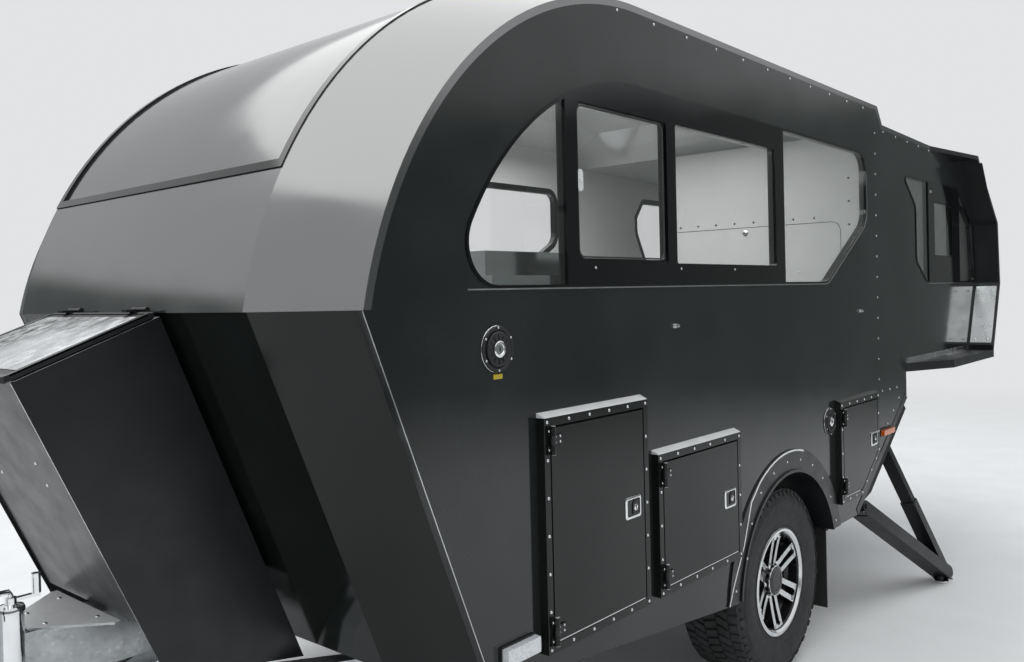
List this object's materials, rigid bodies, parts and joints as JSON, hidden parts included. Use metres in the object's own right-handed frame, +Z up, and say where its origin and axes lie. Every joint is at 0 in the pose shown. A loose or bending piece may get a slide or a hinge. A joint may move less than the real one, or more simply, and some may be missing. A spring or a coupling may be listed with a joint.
{
  "type": "off-road teardrop caravan trailer",
  "caption": "Off-road teardrop caravan trailer with a curved nose, panorama window, side hatches, gas box, drawbar, jockey wheel, raised rear berth and folding rear legs.",
  "frame": {"origin": "centre of the bounding box in X and Y, on the ground", "axes": "+X to the coupling, +Y to the left side, +Z up"},
  "size_m": [6.471, 2.3188, 2.65],
  "materials": {
    "body_paint": "satin dark graphite paint",
    "black_gloss": "gloss black",
    "black_plastic": "black moulded plastic",
    "bare_aluminium": "bare sheet",
    "galvanised": "zinc coated",
    "tinted_glass": "tinted acrylic",
    "rubber": "matt",
    "tyre": "bare sidewall",
    "alloy": "machined face on black",
    "lamp_plastic": "amber, red and clear lenses",
    "cabinet_white": "white laminate",
    "chassis_steel": "black coated steel"
  },
  "bodies": {
    "body": {"side_wall_left": "body_paint", "side_wall_right": "body_paint", "rear_side_left": "body_paint", "rear_side_right": "body_paint", "rear_flares": "body_paint", "rear_shell": "body_paint", "chamfers": "body_paint", "roof_panel": "body_paint", "nose_panel": "body_paint", "lower_nose": "body_paint", "panorama_window": "tinted_glass", "window_frames": "black_gloss", "window_glass": "tinted_glass", "rooflight": "black_plastic", "hatch_frames": "body_paint", "main_floor": "body_paint", "departure_panel": "body_paint", "arches": "black_plastic", "mudflaps": "rubber", "chassis": "chassis_steel", "axle": "chassis_steel", "drawbar": "chassis_steel", "coupling": "chassis_steel", "front_box": "black_gloss", "filler_caps": "black_plastic", "lamps": "lamp_plastic", "jockey_tube": "galvanised", "leg_rails": "chassis_steel", "kitchen_unit": "cabinet_white", "cabinets": "cabinet_white", "bed_base": "cabinet_white"},
    "wheel_left": {"rim_left": "alloy", "tyre_left": "tyre"},
    "wheel_right": {"rim_right": "alloy", "tyre_right": "tyre"},
    "hatch_front": {"hatch_front": "body_paint"},
    "hatch_middle": {"hatch_middle": "body_paint"},
    "hatch_rear_left": {"hatch_rear_left": "body_paint"},
    "hatch_rear_right": {"hatch_rear_right": "body_paint"},
    "entrance_door": {"entrance_door": "body_paint", "door_glass": "tinted_glass"},
    "box_lid": {"front_box_lid": "black_gloss"},
    "jockey_stem": {"jockey_stem": "galvanised"},
    "jockey_wheel": {"jockey_wheel": "rubber"},
    "leg_arm_left": {"leg_arm_left": "chassis_steel"},
    "leg_arm_right": {"leg_arm_right": "chassis_steel"},
    "brace_tube_left": {"brace_tube_left": "galvanised"},
    "brace_tube_right": {"brace_tube_right": "galvanised"},
    "brace_rod_left": {"brace_rod_left": "galvanised"},
    "brace_rod_right": {"brace_rod_right": "galvanised"}
  },
  "joints": [
    {"name": "wheel_left_spin", "type": "hinge", "parent": "body", "child": "wheel_left", "pos_m": [-0.2045, 0.81, 0.389], "axis": [0, 1, 0], "continuous": true},
    {"name": "wheel_right_spin", "type": "hinge", "parent": "body", "child": "wheel_right", "pos_m": [-0.2045, -0.81, 0.389], "axis": [0, 1, 0], "continuous": true},
    {"name": "hatch_front_hinge", "type": "hinge", "parent": "body", "child": "hatch_front", "pos_m": [1.3905, 1.012, 0.942], "axis": [0, 0, -1], "range_deg": [0, 110]},
    {"name": "hatch_middle_hinge", "type": "hinge", "parent": "body", "child": "hatch_middle", "pos_m": [0.8105, 1.012, 0.848], "axis": [0, 0, -1], "range_deg": [0, 110]},
    {"name": "hatch_rear_left_hinge", "type": "hinge", "parent": "body", "child": "hatch_rear_left", "pos_m": [-0.7465, 1.012, 0.855], "axis": [0, 0, -1], "range_deg": [0, 110]},
    {"name": "hatch_rear_right_hinge", "type": "hinge", "parent": "body", "child": "hatch_rear_right", "pos_m": [-0.7465, -1.012, 0.855], "axis": [0, 0, 1], "range_deg": [0, 110]},
    {"name": "entrance_door_hinge", "type": "hinge", "parent": "body", "child": "entrance_door", "pos_m": [0.9975, -0.996, 1.43], "axis": [0, 0, 1], "range_deg": [0, 110]},
    {"name": "box_lid_hinge", "type": "hinge", "parent": "body", "child": "box_lid", "pos_m": [2.14324, 0, 1.589], "axis": [0, -1, 0], "range_deg": [0, 100]},
    {"name": "jockey_swivel", "type": "hinge", "parent": "body", "child": "jockey_stem", "pos_m": [2.4555, 0.112, 0.4], "axis": [0, 0, 1], "continuous": true},
    {"name": "jockey_wheel_spin", "type": "hinge", "parent": "jockey_stem", "child": "jockey_wheel", "pos_m": [2.4155, 0.112, 0.1], "axis": [0, 1, 0], "continuous": true},
    {"name": "leg_left_swing", "type": "hinge", "parent": "body", "child": "leg_arm_left", "pos_m": [-1.11037, 0.9262, 0.52345], "axis": [0.1173, 0.976, 0.1833], "range_deg": [0, 48]},
    {"name": "brace_left_swing", "type": "hinge", "parent": "body", "child": "brace_tube_left", "pos_m": [-1.47622, 0.92076, 0.78661], "axis": [0.1173, 0.976, 0.1833], "range_deg": [0, 59.24]},
    {"name": "brace_left_slide", "type": "slide", "parent": "brace_tube_left", "child": "brace_rod_left", "axis": [-0.444, 0.2167, -0.8695], "range_m": [-0.3441, 0]},
    {"name": "leg_right_swing", "type": "hinge", "parent": "body", "child": "leg_arm_right", "pos_m": [-1.11037, -0.9262, 0.52345], "axis": [-0.1173, 0.976, -0.1833], "range_deg": [0, 48]},
    {"name": "brace_right_swing", "type": "hinge", "parent": "body", "child": "brace_tube_right", "pos_m": [-1.47622, -0.92076, 0.78661], "axis": [-0.1173, 0.976, -0.1833], "range_deg": [0, 59.24]},
    {"name": "brace_right_slide", "type": "slide", "parent": "brace_tube_right", "child": "brace_rod_right", "axis": [-0.444, -0.2167, -0.8695], "range_m": [-0.3441, 0]}
  ],
  "couplings": [
    {"joint": "brace_left_swing", "follows": "leg_left_swing", "ratio": 1.2337},
    {"joint": "brace_left_slide", "follows": "leg_left_swing", "m_per_rad": -0.41056},
    {"joint": "brace_right_swing", "follows": "leg_right_swing", "ratio": 1.2337},
    {"joint": "brace_right_slide", "follows": "leg_right_swing", "m_per_rad": -0.41056}
  ]
}
